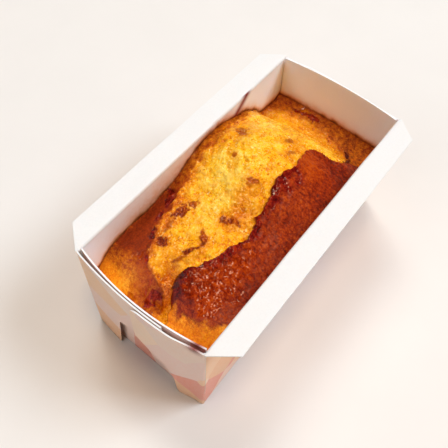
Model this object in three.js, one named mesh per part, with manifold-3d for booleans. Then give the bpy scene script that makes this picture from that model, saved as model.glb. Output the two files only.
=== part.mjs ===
// A small loaf cake, burst open along its top, in the folded card case that it was baked in.
// Millimetres, +Z up. X runs along the loaf, Y across it, and the case stands on Z = 0.

import * as THREE from 'three';
import { mergeVertices } from 'three/addons/utils/BufferGeometryUtils.js';
import Module from 'manifold-3d';

const { lerp, smoothstep } = THREE.MathUtils;

// The card case: one cut and folded sheet.
const CARD = 0.6; // thickness of the card
const GAP = 0.3; // room between neighbouring pieces
const CASE_HEIGHT = 65;
const CASE_LENGTH = 136; // between the corner folds of the end flaps
const OPENING_WIDTH = 60; // between the long walls
const FLANGE_WIDTH = 10.6; // rim folded outwards from each long wall
const FLANGE_CHAMFER = 8; // the rim's outer edge is shorter by this at each end

// The inner end walls stand up from the base and bow outwards towards the rim.
const END_FOOT = 66.6; // from the middle of the loaf to the inner face, at the base
const END_RIM = 65.3; // the same, at the corners of the rim
const END_BOW = 3.6; // how far the middle of the rim stands out

// The end flaps fold round from the long walls and overlap outside the end walls.
const FLAP_BOW_FOOT = 2.4; // how far a flap's middle stands out, at the floor
const FLAP_BOW_RIM = 3.3; // the same, at the rim
const FLAP_OVERLAP = 1.0; // the outer flap stands this much further out
const FLAP_EASE = [3, 14]; // distances from the fold between which it moves out
const FLAP_CORNER = 5; // radius of the outer flap's free upper corner
const FLAP_STEP = 2; // width of one strip of a flap
const FLAP_ROWS = 5;
const END_COLUMNS = 24;
const END_ROWS = 6;

// The flaps of the near end. A cut gives the lower edge: distance from the corner fold, height
// above the floor. A leg reaches the floor beside the fold, and an arch is cut out beyond it.
const INNER_FLAP = {
  side: 1,
  reach: 43,
  standOff: 0,
  corner: 0,
  cut: [[14.8, 0], [18.7, 31], [28, 37.5]],
};
const OUTER_FLAP = {
  side: -1,
  reach: 31,
  standOff: FLAP_OVERLAP,
  corner: FLAP_CORNER,
  cut: [[11.5, 0], [12.4, 16], [17, 28], [30, 36.5]],
};

// The loaf. Heights are measured from the floor.
const FACET_LENGTH = 2; // size of one facet of the top, along the loaf
const FACET_WIDTH = 1.7; // the same, across it
const END_HEIGHT = 39.5; // where the cake meets the end walls
const SHOULDER = 9; // rise of the long sides just inside the ends
const SHOULDER_NEAR = [-66, -50]; // X between which the near end rises
const SHOULDER_FAR = [34, 56]; // X between which the far end falls
const BULGE_LEFT = 12.5; // further rise against the +Y wall
const BULGE_RIGHT = 8; // further rise against the -Y wall
const BULGE_CENTRE = 12; // X of the highest part
const BULGE_SPREAD = 24;
const CROWN = 6; // how far the middle stands above the long sides
const CROWN_PEAK = 3; // more of it round the highest part
const CROWN_CENTRE = 2;
const CROWN_SPREAD = 34;
const CROWN_NEAR = [-66, -30];
const CROWN_FAR = [26, 62];

// The browned skin has torn along the loaf. The slab of skin on the -Y side ends in a
// raised lip, whose line is given as X, Y. The pale crumb has risen on the +Y side of it.
const TORN_EDGE = [
  [-64, -8], [-56, -3.5], [-48, -1], [-42, -2], [-34, -8.5], [-24, -11], [-18, -13.2], [-10, -11.3],
  [5, -7.7], [13, -9.5], [20, -10], [31, -8], [35, -15], [38, -20.5], [46, -24], [52, -31],
];
const LIP_HEIGHT = 2.4;
const LIP_REACH = 7; // distance in which the lip sinks into the slab
const FURROW_DEPTH = 1.8; // of the crumb along the foot of the lip
const FURROW_REACH = 4;
const TEAR_WIDTH = 2.2; // width of the step itself
const TEETH = { height: 1.3, size: 4.5, seed: 3 }; // of the ragged edge

// On the +Y side the old skin ends along this line, a little below the crumb.
const CRUST_EDGE = [
  [-58, -1], [-54, 3], [-51.5, 10], [-46, 15.5], [-38, 19], [-28, 23.7], [-15, 27.3], [0, 27.3],
  [12, 25.6], [20, 25], [30, 27], [44, 30],
];
const CRUST_DROP = 0.9;
const CRUST_WIDTH = 3;

// The tear narrows to a valley at the near end.
const VALLEY = [
  [-66, -3], [-61, -2], [-57, -1.4], [-52, 0.5], [-48, 1.7], [-44, 0.8], [-38, -3.2], [-32, -5],
];
const VALLEY_DEPTH = 4.5;
const VALLEY_WIDTH = 3.6;
const VALLEY_FADE = [-52, -34]; // X between which it runs out on the crumb
const VALLEY_MOUTH = [-70, -58]; // X between which it opens at the near wall

// A dip parts the risen crumb from the skin at the far left corner.
const DIP = { x: 45, y: 22, depth: 2, spread: 6 };

const RELIEF_MARGIN = 3.6; // all relief dies away within this distance of the end walls

// Uneven swellings all over the top.
const SWELLS = [{ height: 0.9, size: 15, seed: 1 }, { height: 0.5, size: 6, seed: 2 }];

// Multipliers that scatter grid numbers into random ones.
const SCATTER = { x: 127.1, y: 311.7, seed: 74.7, all: 43758.5453 };

const FINISHES = {
  cake: { color: 0xe0952a, roughness: 0.55, metalness: 0 },
  case: { color: 0xf3e6dc, roughness: 0.7, metalness: 0 },
};

// A function of one variable that runs straight between the points of a short list.
function through(points) {
  return (at) => {
    const next = points.findIndex(([place]) => place >= at);
    if (next === 0) return points[0][1];
    if (next < 0) return points[points.length - 1][1];
    const [start, low] = points[next - 1];
    const [end, high] = points[next];
    return lerp(low, high, (at - start) / (end - start));
  };
}

const tornEdge = through(TORN_EDGE);
const crustEdge = through(CRUST_EDGE);
const valleyLine = through(VALLEY);

function bell(distance, spread) {
  return Math.exp(-((distance / spread) ** 2));
}

// 1 between the two ramps, falling to 0 outside them.
function between(x, [start, full], [fade, end]) {
  return smoothstep(x, start, full) * (1 - smoothstep(x, fade, end));
}

// 1 in the middle of the width, 0 at the long walls.
function bowed(y) {
  return Math.max(0, 1 - (y / (OPENING_WIDTH / 2)) ** 2);
}

// A repeatable random number from -1 to 1 for each point of a grid.
function lattice(i, j, seed) {
  const value = SCATTER.all * Math.sin(i * SCATTER.x + j * SCATTER.y + seed * SCATTER.seed);
  return 2 * (value - Math.floor(value)) - 1;
}

// Smooth lumps of about the given size, up to the given height either way.
function lumps({ height, size, seed }, x, y) {
  const i = Math.floor(x / size);
  const j = Math.floor(y / size);
  const u = smoothstep(x / size - i, 0, 1);
  const v = smoothstep(y / size - j, 0, 1);
  const low = lerp(lattice(i, j, seed), lattice(i + 1, j, seed), u);
  const high = lerp(lattice(i, j + 1, seed), lattice(i + 1, j + 1, seed), u);
  return height * lerp(low, high, v);
}

// The risen loaf without its tear.
function domeHeight(x, y) {
  const across = 0.5 + y / OPENING_WIDTH;
  const shoulder = SHOULDER * between(x, SHOULDER_NEAR, SHOULDER_FAR);
  const bulge = lerp(BULGE_RIGHT, BULGE_LEFT, across) * bell(x - BULGE_CENTRE, BULGE_SPREAD);
  const crown = CROWN + CROWN_PEAK * bell(x - CROWN_CENTRE, CROWN_SPREAD);
  return END_HEIGHT + shoulder + bulge + crown * between(x, CROWN_NEAR, CROWN_FAR) * bowed(y);
}

// The step from the crumb up to the lip of the torn slab.
function tearRelief(x, y) {
  const edge = tornEdge(x) + lumps(TEETH, x, 0);
  const inSlab = edge - y;
  const lip = LIP_HEIGHT * Math.exp(-Math.max(inSlab, 0) / LIP_REACH);
  const furrow = -FURROW_DEPTH * Math.exp(Math.min(inSlab, 0) / FURROW_REACH);
  return lerp(furrow, lip, smoothstep(inSlab, -TEAR_WIDTH / 2, TEAR_WIDTH / 2));
}

function crustRelief(x, y) {
  const outside = y - crustEdge(x);
  return -CRUST_DROP * smoothstep(outside, -CRUST_WIDTH / 2, CRUST_WIDTH / 2);
}

function valleyRelief(x, y) {
  const along = smoothstep(x, ...VALLEY_MOUTH) * (1 - smoothstep(x, ...VALLEY_FADE));
  return -VALLEY_DEPTH * along * bell(y - valleyLine(x), VALLEY_WIDTH);
}

function dipRelief(x, y) {
  return -DIP.depth * bell(Math.hypot(x - DIP.x, y - DIP.y), DIP.spread);
}

function swellRelief(x, y) {
  return SWELLS.reduce((sum, swell) => sum + lumps(swell, x, y), 0);
}

// Height of the cake's top. The relief fades out where the cake meets the end walls.
function cakeHeight(x, y) {
  const reliefs = [tearRelief, crustRelief, valleyRelief, dipRelief, swellRelief];
  const relief = reliefs.reduce((sum, part) => sum + part(x, y), 0);
  const inside = smoothstep(END_FOOT - Math.abs(x), 0, RELIEF_MARGIN);
  return domeHeight(x, y) + relief * inside;
}

// Distance from the middle of the loaf to an end wall's inner face.
function endFace(y, z) {
  return lerp(END_FOOT, END_RIM + END_BOW * bowed(y), z / CASE_HEIGHT);
}

// Distance from the middle of the loaf to a flap's outer face.
function flapFace(flap, fromFold, z) {
  const y = OPENING_WIDTH / 2 - fromFold;
  const bow = lerp(FLAP_BOW_FOOT, FLAP_BOW_RIM, z / CASE_HEIGHT) * bowed(y);
  return CASE_LENGTH / 2 + bow + flap.standOff * smoothstep(fromFold, ...FLAP_EASE);
}

function flapTop(flap, fromFold) {
  const round = Math.max(0, fromFold - (flap.reach - flap.corner));
  return CASE_HEIGHT - flap.corner + Math.sqrt(Math.max(0, flap.corner ** 2 - round ** 2));
}

function geometryOf(positions, index) {
  const geometry = new THREE.BufferGeometry();
  geometry.setAttribute('position', new THREE.Float32BufferAttribute(positions, 3));
  geometry.setIndex(index);
  return geometry;
}

// A grid's points in rows, and its faces seen from the side where columns run right and rows up.
function gridFaces(columns, rows, first, index) {
  const at = (i, j) => first + i * (rows + 1) + j;
  for (let i = 0; i < columns; i += 1) {
    for (let j = 0; j < rows; j += 1) {
      index.push(at(i, j), at(i + 1, j), at(i + 1, j + 1), at(i, j), at(i + 1, j + 1), at(i, j + 1));
    }
  }
}

// The grid's outline, anticlockwise on the side that gridFaces shows.
function gridOutline(columns, rows) {
  const at = (i, j) => i * (rows + 1) + j;
  const ring = [];
  for (let i = 0; i < columns; i += 1) ring.push(at(i, 0));
  for (let j = 0; j < rows; j += 1) ring.push(at(columns, j));
  for (let i = columns; i > 0; i -= 1) ring.push(at(i, rows));
  for (let j = rows; j > 0; j -= 1) ring.push(at(0, j));
  return ring;
}

// A thin closed sheet between a front and a back face, each a function of column and row.
function sheetGeometry(columns, rows, front, back) {
  const positions = [];
  const index = [];
  for (const face of [front, back]) {
    for (let i = 0; i <= columns; i += 1) {
      for (let j = 0; j <= rows; j += 1) positions.push(...face(i, j));
    }
  }
  const count = (columns + 1) * (rows + 1);
  gridFaces(columns, rows, 0, index);
  const behind = [];
  gridFaces(columns, rows, count, behind);
  index.push(...behind.reverse());
  const ring = gridOutline(columns, rows);
  ring.forEach((here, k) => {
    const next = ring[(k + 1) % ring.length];
    index.push(here, here + count, next + count, here, next + count, next);
  });
  return geometryOf(positions, index);
}

// A flap at the near end, as strips that run from its lower edge to its upper edge.
function flapGeometry(flap) {
  const lower = through(flap.cut);
  const stops = new Set(flap.cut.map(([fromFold]) => fromFold));
  for (let at = 0; at < flap.reach; at += FLAP_STEP) stops.add(at);
  stops.add(-CARD / 2).add(flap.reach);
  const strips = [...stops].sort((a, b) => (a - b) * flap.side);
  const point = (depth) => (i, j) => {
    const fromFold = strips[i];
    const z = lerp(lower(fromFold), flapTop(flap, fromFold), j / FLAP_ROWS);
    return [depth - flapFace(flap, fromFold, z), flap.side * (OPENING_WIDTH / 2 - fromFold), z];
  };
  return sheetGeometry(strips.length - 1, FLAP_ROWS, point(0), point(CARD));
}

// The near inner end wall, standing on the base between the long walls.
function endWallGeometry() {
  const halfWidth = OPENING_WIDTH / 2 - GAP;
  const point = (depth) => (i, j) => {
    const y = lerp(halfWidth, -halfWidth, i / END_COLUMNS);
    const z = lerp(0, CASE_HEIGHT, j / END_ROWS);
    return [-endFace(y, z) - depth, y, z];
  };
  return sheetGeometry(END_COLUMNS, END_ROWS, point(CARD), point(0));
}

// The long wall on the +Y side.
function longWallGeometry() {
  const geometry = new THREE.BoxGeometry(CASE_LENGTH, CARD, CASE_HEIGHT);
  return geometry.translate(0, OPENING_WIDTH / 2 + CARD / 2, CASE_HEIGHT / 2);
}

// The flat rim on the +Y side, with both of its outer corners cut off.
function flangeGeometry() {
  const fold = OPENING_WIDTH / 2;
  const inner = CASE_LENGTH / 2;
  const outer = inner - FLANGE_CHAMFER;
  const outline = new THREE.Shape();
  outline.moveTo(-inner, fold);
  outline.lineTo(inner, fold);
  outline.lineTo(outer, fold + FLANGE_WIDTH);
  outline.lineTo(-outer, fold + FLANGE_WIDTH);
  const geometry = new THREE.ExtrudeGeometry(outline, { depth: CARD, bevelEnabled: false });
  return geometry.translate(0, 0, CASE_HEIGHT - CARD);
}

function baseGeometry() {
  const geometry = new THREE.BoxGeometry(2 * (END_FOOT + CARD), OPENING_WIDTH + 2 * CARD, CARD);
  return geometry.translate(0, 0, CARD / 2);
}

const wasm = await Module();
wasm.setup();

function solidOf(geometry) {
  const bare = new THREE.BufferGeometry();
  bare.setAttribute('position', geometry.getAttribute('position').clone());
  bare.setIndex(geometry.getIndex());
  const welded = mergeVertices(bare);
  const vertProperties = new Float32Array(welded.getAttribute('position').array);
  const triVerts = new Uint32Array(welded.getIndex().array);
  return new wasm.Manifold(new wasm.Mesh({ numProp: 3, vertProperties, triVerts }));
}

// Half of the folded case; the other half is the same, turned round the Z axis.
function halfCase() {
  const flaps = [INNER_FLAP, OUTER_FLAP].map(flapGeometry);
  return [longWallGeometry(), flangeGeometry(), endWallGeometry(), ...flaps];
}

function caseGeometry() {
  const turned = halfCase().map((panel) => panel.rotateZ(Math.PI));
  const panels = [baseGeometry(), ...halfCase(), ...turned].map(solidOf);
  const { vertProperties, triVerts } = panels.reduce((whole, panel) => whole.add(panel)).getMesh();
  return geometryOf(vertProperties, [...triVerts]);
}

// The loaf: a faceted top, sides down along the card, and a flat underside on the base.
function cakeGeometry() {
  const halfWidth = OPENING_WIDTH / 2 - GAP;
  const columns = Math.round((2 * END_FOOT) / FACET_LENGTH);
  const rows = Math.round((2 * halfWidth) / FACET_WIDTH);
  const positions = [];
  const index = [];
  for (let i = 0; i <= columns; i += 1) {
    for (let j = 0; j <= rows; j += 1) {
      const y = lerp(-halfWidth, halfWidth, j / rows);
      const end = endFace(y, END_HEIGHT) - GAP;
      const x = lerp(-end, end, i / columns);
      positions.push(x, y, cakeHeight(x, y));
    }
  }
  gridFaces(columns, rows, 0, index);
  const ring = gridOutline(columns, rows);
  const underside = positions.length / 3;
  const floor = CARD + GAP;
  const foot = END_FOOT - GAP;
  ring.forEach((above) => {
    const x = Math.sign(positions[3 * above]) * Math.min(Math.abs(positions[3 * above]), foot);
    positions.push(x, positions[3 * above + 1], floor);
  });
  const middle = positions.length / 3;
  positions.push(0, 0, floor);
  ring.forEach((above, k) => {
    const after = (k + 1) % ring.length;
    index.push(above, underside + k, underside + after, above, underside + after, ring[after]);
    index.push(middle, underside + after, underside + k);
  });
  return geometryOf(positions, index);
}

function piece(name, geometry) {
  geometry.computeVertexNormals();
  const mesh = new THREE.Mesh(geometry, new THREE.MeshStandardMaterial(FINISHES[name]));
  mesh.name = name;
  return mesh;
}

const loafCake = new THREE.Group();
loafCake.add(piece('cake', cakeGeometry()), piece('case', caseGeometry()));

export default loafCake;
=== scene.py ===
"""Looks of a small loaf cake in the card case that it was baked in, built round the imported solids.

Sizes are millimetres in the frame of the solids: X runs along the loaf with the near end at -X,
Y across it, and Z up from the floor. Meshes become metres as they are made.
"""

import math

import bmesh
import bpy
import numpy as np
from mathutils import Color, Matrix, Vector


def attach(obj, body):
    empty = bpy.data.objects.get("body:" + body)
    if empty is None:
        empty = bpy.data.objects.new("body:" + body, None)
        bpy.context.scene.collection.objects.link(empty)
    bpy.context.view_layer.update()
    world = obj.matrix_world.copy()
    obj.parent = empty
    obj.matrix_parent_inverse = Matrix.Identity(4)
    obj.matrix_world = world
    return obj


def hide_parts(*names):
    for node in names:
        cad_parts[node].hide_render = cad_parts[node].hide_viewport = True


MM = 0.001
NEAR = -1  # the end at -X
FAR = 1
# Layers of unevenness are given as height, size, seed, and mottlings as size, detail, roughness.

# The card case: one cut and folded sheet.
CARD = 0.6  # thickness of the card
CASE_HEIGHT = 65
CASE_LENGTH = 136  # between the corner folds of the end flaps
HALF_WIDTH = 30  # from the middle to the inner face of a long wall
FLANGE_WIDTH = 10.6  # of the rim folded outwards from each long wall
FLANGE_CHAMFER = 8  # the rim's outer edge is shorter by this at each end
END_FOOT = 66.6  # from the middle to an end wall's inner face, at the base
END_RIM = 65.3  # the same, at the corners of the rim
END_BOW = {NEAR: 3.6, FAR: 2.3}  # how far the middle of the rim stands out
END_GAP = 0.3  # between the end walls and the long walls
FLAP_BOW = {NEAR: (2.4, 2.5), FAR: (2.4, 1.0)}  # how far a flap's middle stands out, at its foot and rim
FLAP_DROP = {NEAR: 0, FAR: 1.5}  # how far a flap ends below the rim
DROP_EASE = (-4, 2)  # distances from the fold between which it drops
FLAP_EASE = (3, 14)  # distances from the fold between which an outer flap moves out
RIM_FOLD = 0.7  # radius of the fold between a long wall and its flange
BASE_FOLD = 1.0  # the same, between a long wall and the base
CORNER_FOLD = 0.8  # the same, between a long wall and its flap
# The flaps of an end. A cut gives the lower edge: distance from the corner fold, height.
INNER_FLAP = {"side": 1, "reach": 43, "stand_off": 0, "corner": 0,
              "cut": ((14.8, 0), (18.7, 31), (28, 37.5))}
OUTER_FLAP = {"side": -1, "reach": 31, "stand_off": 1.0, "corner": 5,
              "cut": ((11.5, 0), (12.4, 16), (17, 28), (30, 36.5))}
CARD_STEP = 1.0  # size of one face of the card
FLAP_STEP = 1.5  # height of one face of a flap
FOLD_STEPS = 5
CARD_SHARP = 40  # degrees from which an edge of the card is sharp
DENTS = (0.16, 17, 21)  # unevenness of the folded card
DENT_SHIFT = 3  # makes the dents of the two long walls differ
DENT_RISE = (2, 12)  # heights between which they begin

# What the cake has left on the card, and painted shade on the +Y wall.
GREASE_REACH = 1.8  # of the browned line above the cake
GREASE_WAVER = (0.8, 3, 41)
SOAK_AND_SHADE = {"strength": 0.55, "middle": -26, "spread": 30, "reach": 8}  # along the +Y wall, partly soaked card, partly painted shade
DRIP = {"x": (28, 35.5), "z": (57, 64.5), "spread": 2.8, "fade": (54, 57)}  # inside the +Y wall
STAIN = {"y": -26.4, "z": 64.5, "spread": 2.6, "fade": (64, 65)}  # in the near -Y corner

# The loaf, with the main shapes of the solids. Heights are measured from the floor.
END_HEIGHT = 39.5  # where the cake meets the end walls
SHOULDER = 9  # rise of the long sides just inside the ends
SHOULDER_NEAR = (-66, -50)  # X between which the near end rises
SHOULDER_FAR = (34, 56)  # X between which the far end falls
BULGE_LEFT = 12.5  # further rise against the +Y wall
BULGE_RIGHT = 8  # further rise against the -Y wall
BULGE_CENTRE = 12  # X of the highest part
BULGE_SPREAD = 24
CROWN = 6  # how far the middle stands above the long sides
CROWN_PEAK = 3  # more of it round the highest part
CROWN_CENTRE = 2
CROWN_SPREAD = 34
CROWN_NEAR = (-66, -30)
CROWN_FAR = (26, 62)
UNDERSIDE = 0.9  # height of the cake's flat bottom
FOOT_LENGTH = 66.3  # half the length of the underside
RELIEF_MARGIN = 3.6  # the larger relief dies away within this distance of the end walls
SWELLS = ((0.9, 15, 1), (0.5, 6, 2))

# The browned skin has torn along the loaf. The slab of skin on the -Y side ends in a raised lip,
# whose line is given as X, Y.
TORN_EDGE = (
    (-64, -7.4), (-58, -5), (-55, -3.7), (-51.5, -1.1), (-48.5, 0), (-46, 0), (-42.5, -1.4), (-39, -5.2),
    (-33, -7.8), (-27, -9.3), (-22, -12), (-17, -12.6), (-11, -10.6), (-4, -10.2), (5, -7.4), (10, -8),
    (14, -9.5), (20, -9), (26, -7.6), (30, -7.4), (32.2, -9), (33.4, -12), (34.6, -17), (37.2, -20.5),
    (46, -24), (52, -31),
)
FINE_TEETH = ((0.95, 3.0, 5), (0.4, 1.2, 6))
LIP_HEIGHT = 2.0
LIP_REACH = 7  # distance in which the lip sinks into the slab
FURROW_DEPTH = 1.0  # of the crumb along the foot of the lip
FURROW_REACH = 4
TEAR_WIDTH = 1.6  # width of the step itself
TEAR_FADE = (-57, -43)  # X between which the step begins
# On the +Y side the old skin ends along this line, a little below the crumb.
CRUST_EDGE = (
    (-58, -0.5), (-55.5, 1), (-53.4, 2.8), (-52, 8), (-49.5, 13.5), (-45, 16), (-40, 19), (-32, 21.5),
    (-26, 22), (-18, 24.5), (-8, 25.5), (0, 26.5), (8, 25.5), (20, 26.5), (30, 28), (44, 30),
)
CRUST_DROP = 0.9
CRUST_WIDTH = 3
CRUST_TEETH = 2  # how much more ragged the old skin's edges are than the slab's
# The crust of the far end begins along this line, X by Y.
FAR_EDGE = (
    (-30, 36), (-21.5, 39), (-20, 46), (-18.5, 51), (-15, 55.5), (-8, 58.5), (0, 60), (8, 61), (16, 60.5),
    (24, 58.5), (30, 55),
)
# The tear narrows to a valley at the near end.
VALLEY = (
    (-66, -2.6), (-61, -1.6), (-57, -0.8), (-52, 1), (-48, 2.2), (-44, 1.2), (-38, -2.6), (-32, -5),
)
VALLEY_DEPTH = 4.0
VALLEY_WIDTH = 3.6
VALLEY_FADE = (-52, -34)  # X between which it runs out on the crumb
VALLEY_MOUTH = (-70, -58)  # X between which it opens at the near wall
# A dip parts the risen crumb from the skin at the far left corner.
DIP = {"x": 49, "y": 26, "depth": 4, "spread": 4.5}
# A ledge of torn crumb stands above the valley, X by Y.
LEDGE = ((-6.7, -34), (-3.8, -35), (1.7, -37), (4.5, -42))
LEDGE_HEIGHT = 1.1
LEDGE_WIDTH = 1.6
LEDGE_REACH = 6
LEDGE_SIDES = ((-9, -5), (2, 6))  # Y between which it begins and ends

# The finer surface of the loaf.
CAKE_COLUMNS = 420
CAKE_ROWS = 188
LENGTH_STEPS = 4 * CAKE_COLUMNS  # of the line along which the columns are shared out
CAKE_SHARP = 70  # degrees from which an edge of the cake is sharp
TOUCH = 0.05  # room between the cake and the card
CLIMB = {"height": 0.9, "reach": 0.8}  # the thin edge that clings to the card
CRUMB_GRAIN = ((0.5, 4.6, 7), (0.34, 2.1, 8), (0.22, 1.0, 9))
RAISED = 0.7  # height of the relief at which the crumb is palest, as painted light; hollows get painted shade
PITS = {"depth": 1.0, "size": 2.4, "radius": 0.4, "seed": 10}
PIT_SCATTER = 0.45  # how far a pore may lie from the middle of its cell, in cells
PIT_CHANCE = (0.1, 1)  # random numbers between which a pore deepens
PIT_LEAST = 0.6  # share of the radius that the smallest pore has
SKIN_GRAIN = ((0.2, 3.0, 11), (0.26, 1.6, 12), (0.12, 0.9, 13))
SMOOTH_CRUST = 0.6  # share of the crumb's grain that the old skin lacks
SMOOTH_SKIN = 0.3  # share of the skin's grain where it is dry
# The wet skin is puckered in smooth folds that catch the light.
PUCKERS = ((0.36, 2.5, 18), (0.22, 1.5, 19))
PUCKERED = (0.6, 0.95)  # wetness between which the folds begin
RIM_GRAIN = ((0.8, 2.7, 16), (0.34, 1.3, 17))
CRAGS = ((0.54, 2.4, 14), (0.24, 1.1, 15))
CRAG_LEVEL = 1 / 3  # share of a crag's height that stands above the old surface
SCATTER = {"x": 127.1, "y": 311.7, "seed": 74.7, "all": 43758.5453}  # makes grid numbers random
SWIRL_GAIN = 1.6  # makes swirls as high as they are given

# Burnt marks: X, Y, half length, half width, turn in degrees, strength.
MARKS = (
    (-25.5, 16.4, 4.6, 3, -12, 1), (-21, 14.4, 2.6, 1.6, -25, 0.8),
    (-40.2, 13.8, 2.8, 1.9, 70, 0.9), (-34, 16.4, 3.4, 1.5, 0, 0.6),
    (-30, 1, 3.2, 1.5, 60, 0.9), (-32, -0.8, 1.9, 1.2, 0, 0.8),
    (-17.6, -3.8, 3.2, 1.8, -70, 0.9), (-18.9, 0.2, 1.9, 1.3, 40, 0.8),
    (17.5, 18.6, 3.6, 2.5, 40, 0.6), (4.3, 12.8, 1.5, 1, 70, 0.6),
    (-1.3, -0.6, 2.6, 1.5, -60, 0.8), (27.6, 0.8, 2.6, 1.3, -35, 0.6),
    (21.5, -4, 2.8, 1.2, -20, 0.5), (-37.2, 1.6, 3.8, 1, -45, 0.9),
    (-42, 3.6, 2.6, 0.9, -30, 0.7), (58.6, -5.6, 2, 1, 60, 0.7),
)
# Charred, shiny spots, in the same terms.
CHARRED = (
    (-48.8, 14.2, 2.6, 1.2, 35, 0.9), (-44, 17.4, 1.8, 0.8, 25, 0.7),
    (-39.2, 20, 3, 1.3, 20, 0.9), (-31, 23.4, 3, 1.2, 15, 0.9),
    (-23.5, 24.9, 3.6, 1.6, 12, 0.9), (-19.8, 27, 2.6, 1.4, 60, 0.8),
    (-56.6, 3.2, 2.7, 1.9, -25, 1.4), (-59.4, 4.6, 1.9, 1.2, 0, 1),
    (-57.4, 7.6, 1.6, 0.9, 40, 0.7), (-54.4, 7.2, 1.2, 0.8, 20, 0.6),
    (64, 7.4, 3.2, 1.9, 70, 0.9), (63.4, 12, 3, 1.4, 80, 0.8),
    (62.6, 17, 2.6, 1.2, 90, 0.7), (47, -20.4, 5.4, 1.2, 8, 0.8),
    (54, -17.4, 3.4, 1.2, 35, 0.8),
)
MARK_WARP = ((0.7, 3.4, 51), (0.7, 3.4, 52))  # how far the marks' outlines wander, along X and Y
MARK_FRAY = ((0.45, 2.1, 53), (0.3, 1.0, 54))
MARK_EDGE = (0.68, 1.15)  # shares of a mark's size between which it fades
MARK_GAIN = 1.15
MARK_HALO = {"strength": 0.5, "spread": 1.9}  # of the browned crumb round a mark

# Patches of the top: X, Y, spread, strength.
# Toasted crumb; the patches in the valley at the near end, X -55 to -48, are painted shade.
TOASTED_AND_SHADED = (
    (-12, -4, 8, 0.5), (-4, -4, 6, 0.35), (-35, 16, 7, 0.2), (-45, 9, 7, 0.15), (16, 19, 6, 0.5),
    (54, 8, 6, 0.4), (50, -10, 7, 0.4), (28, -3, 6, 0.5), (-31, 0, 5, 0.2), (-48.5, 2, 5, 0.95),
    (-53, 0, 5, 0.5), (-20, -3, 6, 0.3), (-39, 4, 6, 0.1), (18, -6, 8, 0.3), (5, 24, 5, 0.3),
    (-55, -1.5, 4, 0.8), (42, 8, 9, 0.3), (52, -3, 7, 0.3),
)
PALE = (
    (-9, 9, 9, 0.9), (2, 8, 9, 0.6), (-3, 17, 7, 0.5), (38, 14, 9, 0.8), (43, -8, 7, 0.6), (-28, 8, 7, 0.5),
    (18, 8, 10, 0.4), (29, 14, 6, 0.6), (46, 2, 7, 0.4), (-22, 5, 6, 0.4), (44, 25, 5, 0.8),
)
WET = (
    (-52, -10, 9, 1.0), (-42, -15, 8, 0.8), (-34, -15, 8, 0.8), (-57, 7, 8, 1.0), (-12, -4, 7, 0.9),
    (-58, -14, 8, 0.7), (63, 10, 8, 0.9), (24, -5, 4, 0.5), (48, -20, 6, 0.6), (-38, -2, 6, 0.8),
    (-24, -4, 6, 0.6), (-53, 15, 9, 0.8), (-20, -20, 8, 0.4), (-4, 27, 8, 0.4), (16, 27, 8, 0.4),
)
# Lighter and darker stretches, in the same terms.
# The darker ones along the -Y wall and by the valley at the near end are painted shade.
TONES_AND_PAINTED_SHADE = (
    (21, -13, 7, 0.14), (31, -22, 7, -0.12), (-50, -4, 7, -0.1), (-49, 3, 4, -0.14), (-36, -29, 5, -0.12),
    (14, -26, 8, -0.08), (-56, 20, 7, 0.12), (52, -24, 8, -0.2), (-35, 28, 12, -0.06), (-57, 12, 7, 0.27),
    (-47, 21, 7, -0.1), (62, 10, 9, 0.1), (60, -17, 9, -0.16), (-50, -18, 8, 0.04), (4, -21, 8, 0.03),
    (44, 6, 10, -0.2),
)
EVEN_SHADE = 0.5
TOAST_SPOTS = ((0.3, 6, 31), (0.25, 2.4, 32))
PALE_SPOTS = (0.4, 7, 38)
WET_SPOTS = (0.4, 5, 39)
WET_EDGE = (0.3, 0.6)
CRUMB_GLOSS = 0.92  # wetness of the crumb, from 0 for dry to 1 for wet
SKIN_GLOSS = 0.55  # the same for the slab
CRUST_TOAST = 2.7  # distance in which the crumb is browned beside the old skin
FAR_TOAST = {"strength": 0.7, "reach": 4}  # the same beside the far crust
CLINGING = {"strength": 0.7, "reach": 1.2}  # the dark line where the cake meets the card

# Edges of the cake's surfaces: distances into each between which it begins.
SLAB_EDGE = (-0.3, 0.4)
OLD_SKIN_EDGE = (-1.4, 1.2)
FAR_SKIN_EDGE = (-3, 3)
# Width of the dark, burnt band behind the torn edge, by X.
RIM_WIDTHS = (
    (-62, 0), (-57, 0.5), (-53, 5), (-48, 7), (-42, 3), (-38, 4), (-33, 6), (-27, 5), (-22, 2), (-17, 5),
    (-10, 4.4), (-4, 5), (2, 8.5), (8, 9.5), (12, 8), (16, 3), (20, 0), (52, 0),
)
RIM_WAVER = (0.6, 3.4, 33)
RIM_FADE = (0.4, 1.1)  # shares of the band's width between which it fades
RIM_LEAST = 0.01  # keeps the width above 0
# The near end of the slab is golden in front of this line, X by Y.
GOLD_EDGE = ((-30, -47), (-27, -50), (-22, -53), (-15, -56), (-10, -57), (-5, -55.5), (0, -58))
GOLD_WAVER = (2, 4, 34)
GOLD_FADE = (-3, 1.5)
# The old skin is golden at the near end, most of all by the +Y wall, and a little farther on.
NEAR_GOLD = {"x": (-61, -50), "y": (10, 20), "least": 0.2}
NEAR_WAVER = (2, 6, 37)
LEFT_GOLD = {"x": (-20, -6), "strength": 0.35}
LEFT_WAVER = (3, 5, 40)
FAR_GOLD = {"edge": (-4, 4), "strength": 0.2}

# Colours of the cake, as stops of a mottling from 0 to 1 and tones of the screen.
CRUMB_TONES = (
    (0.36, (218, 118, 4)), (0.46, (247, 169, 15)), (0.54, (254, 190, 38)), (0.68, (255, 211, 94)),
)
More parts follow.
